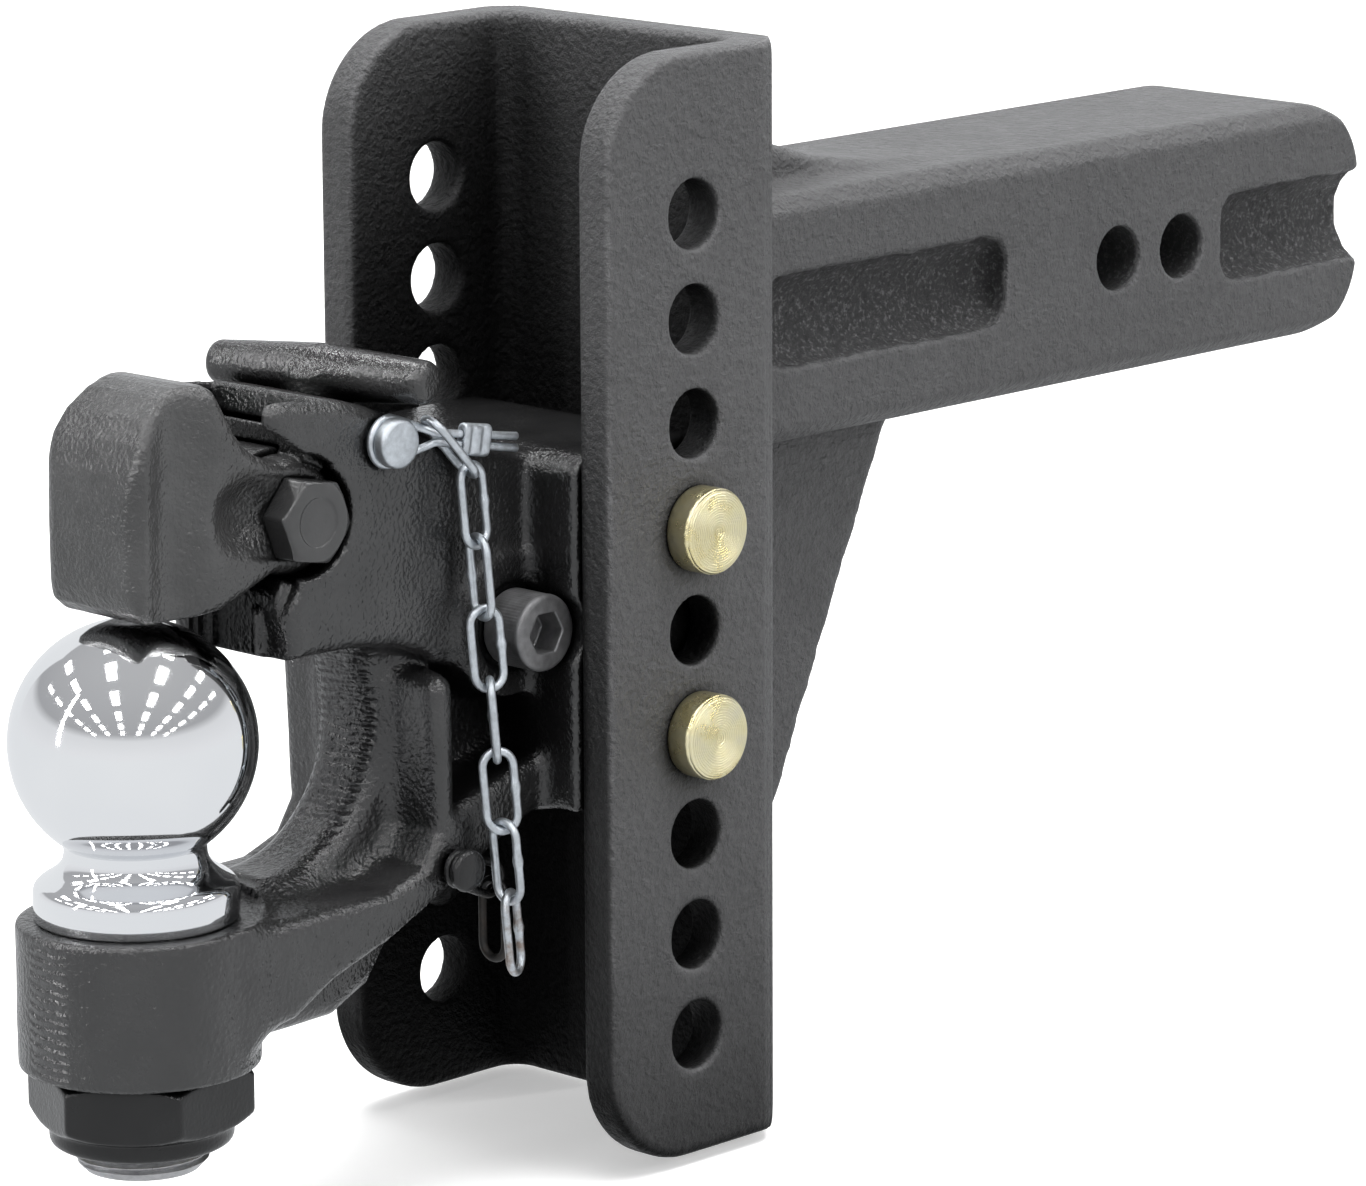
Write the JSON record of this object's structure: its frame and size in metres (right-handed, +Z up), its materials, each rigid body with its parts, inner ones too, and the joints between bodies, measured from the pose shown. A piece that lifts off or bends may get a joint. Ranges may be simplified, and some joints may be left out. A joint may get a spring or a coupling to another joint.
{
  "type": "adjustable trailer hitch with ball and pintle hook",
  "caption": "Adjustable receiver-mount trailer hitch: channel mount on a solid square shank carrying a cast hook with chrome ball, latching upper jaw, T-handle lock and chained safety pin",
  "frame": {"origin": "centre of the forward receiver-pin hole, on the shank centreline", "axes": "+X along the shank towards the vehicle, +Y to the side of the channel where the clips sit, +Z up"},
  "size_m": [0.4455, 0.1245, 0.2725],
  "materials": {
    "channel": "matt charcoal powder coat, fine texture",
    "shank": "matt charcoal coat over a forged surface",
    "gusset": "matt charcoal coat over plate",
    "weld_beads": "coated weld metal",
    "hook_body": "gloss black paint over a cast surface",
    "tow_ball": "polished plating, bare thread at the end",
    "ball_nut": "gloss black",
    "ball_nut_insert": "off-white nylon locking ring",
    "latch": "gloss black paint over a cast surface",
    "latch_pivot_bolt": "black oxide",
    "latch_pivot_nut": "black oxide",
    "latch_pivot_washer": "plain steel",
    "lock_handle": "gloss black paint over a cast surface",
    "lock_detent_ball": "hardened ball",
    "lock_spring": "spring wire",
    "safety_pin": "bright zinc plate",
    "tether_wire": "bright zinc wire",
    "wire_ferrule": "pressed metal sleeve",
    "safety_chain": "bright zinc, lightly worn",
    "chain_anchor_link": "zinc with light rust",
    "chain_stud": "painted over",
    "neck_cap_screw": "black oxide",
    "hitch_pin_upper": "yellow zinc, turned faces",
    "hitch_pin_lower": "yellow zinc, turned faces",
    "hitch_clip_upper": "bright zinc wire",
    "hitch_clip_lower": "bright zinc wire"
  },
  "bodies": {
    "mount": {"channel": "channel", "shank": "shank", "gusset": "gusset", "weld_beads": "weld_beads"},
    "hook": {"hook_body": "hook_body", "tow_ball": "tow_ball", "ball_nut": "ball_nut", "ball_nut_insert": "ball_nut_insert", "chain_stud": "chain_stud", "chain_anchor_link": "chain_anchor_link", "neck_cap_screw": "neck_cap_screw", "lock_spring": "lock_spring", "lock_detent_ball": "lock_detent_ball"},
    "latch": {"latch": "latch", "latch_pivot_bolt": "latch_pivot_bolt", "latch_pivot_nut": "latch_pivot_nut", "latch_pivot_washer": "latch_pivot_washer"},
    "lock": {"lock_handle": "lock_handle"},
    "safety_pin": {"safety_pin": "safety_pin", "tether_wire": "tether_wire", "wire_ferrule": "wire_ferrule", "safety_chain": "safety_chain"},
    "pin_upper": {"hitch_pin_upper": "hitch_pin_upper"},
    "pin_lower": {"hitch_pin_lower": "hitch_pin_lower"},
    "clip_upper": {"hitch_clip_upper": "hitch_clip_upper"},
    "clip_lower": {"hitch_clip_lower": "hitch_clip_lower"}
  },
  "joints": [
    {"name": "height_adjust", "type": "slide", "parent": "mount", "child": "hook", "axis": [0, 0, 1], "range_m": [-0.0762, 0.0762]},
    {"name": "latch_open", "type": "hinge", "parent": "hook", "child": "latch", "pos_m": [-0.2788, 0, -0.028], "axis": [0, 1, 0], "range_deg": [0, 45]},
    {"name": "lock_lift", "type": "slide", "parent": "hook", "child": "lock", "axis": [0, 0, 1], "range_m": [0, 0.01]},
    {"name": "safety_pin_pull", "type": "slide", "parent": "hook", "child": "safety_pin", "axis": [0, -1, 0], "range_m": [0, 0.052]},
    {"name": "upper_pin_turn", "type": "hinge", "parent": "hook", "child": "pin_upper", "pos_m": [-0.1778, 0, -0.0413], "axis": [0, 1, 0], "continuous": true},
    {"name": "lower_pin_turn", "type": "hinge", "parent": "hook", "child": "pin_lower", "pos_m": [-0.1778, 0, -0.0921], "axis": [0, 1, 0], "continuous": true},
    {"name": "upper_clip_pull", "type": "slide", "parent": "pin_upper", "child": "clip_upper", "axis": [-1, 0, 0], "range_m": [0, 0.021]},
    {"name": "lower_clip_pull", "type": "slide", "parent": "pin_lower", "child": "clip_lower", "axis": [-1, 0, 0], "range_m": [0, 0.021]}
  ],
  "couplings": [
    {"joint": "lock_lift", "follows": "latch_open", "m_per_rad": 0.012732}
  ]
}
